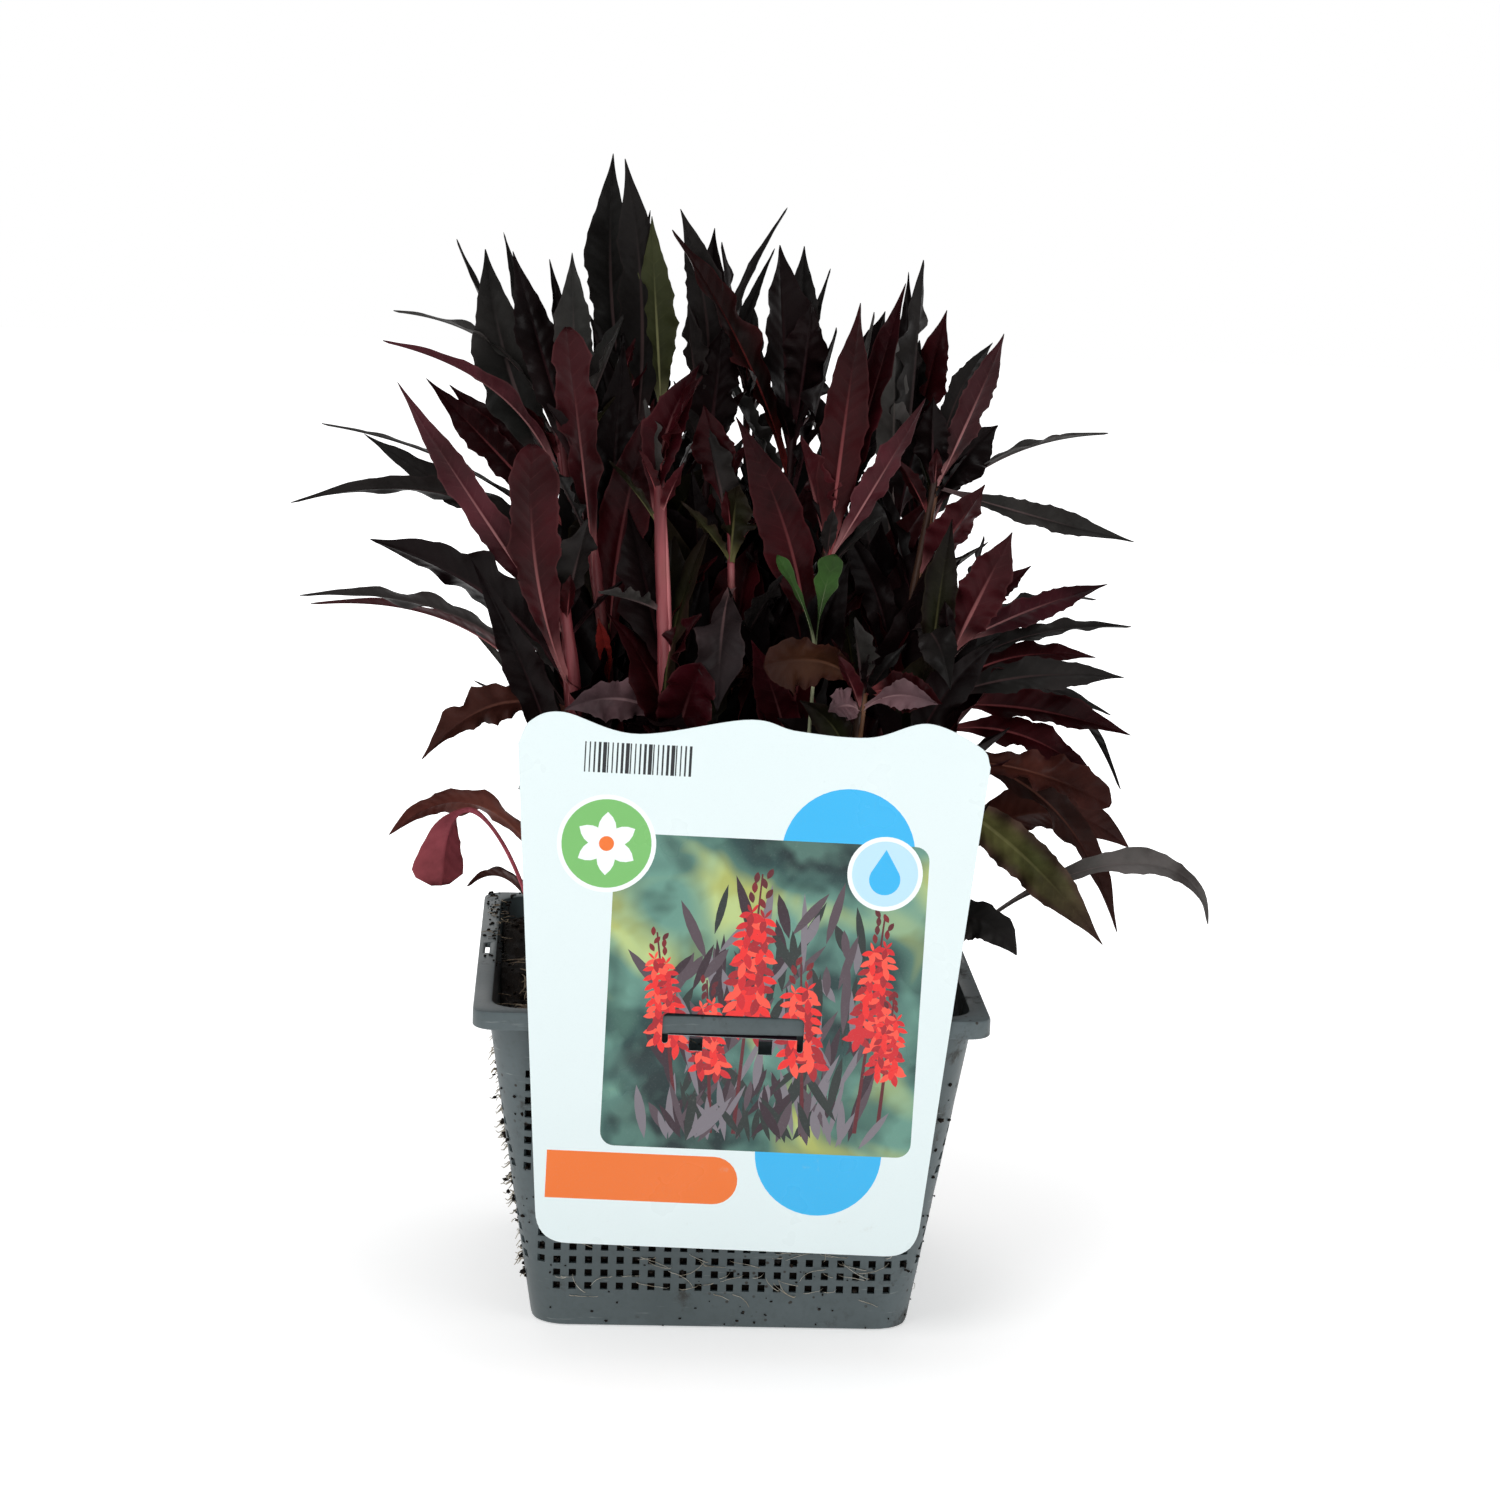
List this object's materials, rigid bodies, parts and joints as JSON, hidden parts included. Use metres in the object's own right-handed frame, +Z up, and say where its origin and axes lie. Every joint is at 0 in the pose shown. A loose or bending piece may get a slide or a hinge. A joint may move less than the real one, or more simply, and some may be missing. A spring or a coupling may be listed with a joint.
{
  "type": "cardinal flower in a pond basket",
  "caption": "Dark-leaved cardinal flower, not in bloom, rooted in a square mesh pond basket of soil with a wordless picture tag hooked on the rim.",
  "frame": {"origin": "middle of the basket's flat base, on the surface it stands on", "axes": "+Z up along the plant; -Y towards the side of the rim that carries the tag; +X to the right when the tag is faced"},
  "size_m": [0.335, 0.2219, 0.41],
  "materials": {
    "basket_plastic": "satin moulded plastic with a square mesh, soil specks and root threads",
    "potting_soil": "rough dark fibrous potting soil",
    "tag_sheet": null,
    "seedling_green": "thin bright green leaf",
    "crown_leaf": "old brown, reddish and olive leaves",
    "shoot_foliage": "dark burgundy to green-grey leaves with pink midribs, satin"
  },
  "bodies": {
    "root": {"basket": "basket_plastic", "soil": "potting_soil", "tag": "tag_sheet", "seedling": "seedling_green", "crown_leaf_01": "crown_leaf", "crown_leaf_02": "crown_leaf", "crown_leaf_03": "crown_leaf", "crown_leaf_04": "crown_leaf", "crown_leaf_05": "crown_leaf", "crown_leaf_06": "crown_leaf", "crown_leaf_07": "crown_leaf", "crown_leaf_08": "crown_leaf", "shoot_01": "shoot_foliage", "shoot_02": "shoot_foliage", "shoot_03": "shoot_foliage", "shoot_04": "shoot_foliage", "shoot_05": "shoot_foliage", "shoot_06": "shoot_foliage", "shoot_07": "shoot_foliage", "shoot_08": "shoot_foliage", "shoot_09": "shoot_foliage", "shoot_10": "shoot_foliage", "shoot_11": "shoot_foliage", "shoot_12": "shoot_foliage", "shoot_13": "shoot_foliage", "shoot_14": "shoot_foliage", "shoot_15": "shoot_foliage", "shoot_16": "shoot_foliage", "shoot_17": "shoot_foliage", "shoot_18": "shoot_foliage", "shoot_19": "shoot_foliage", "shoot_20": "shoot_foliage"}
  },
  "joints": []
}
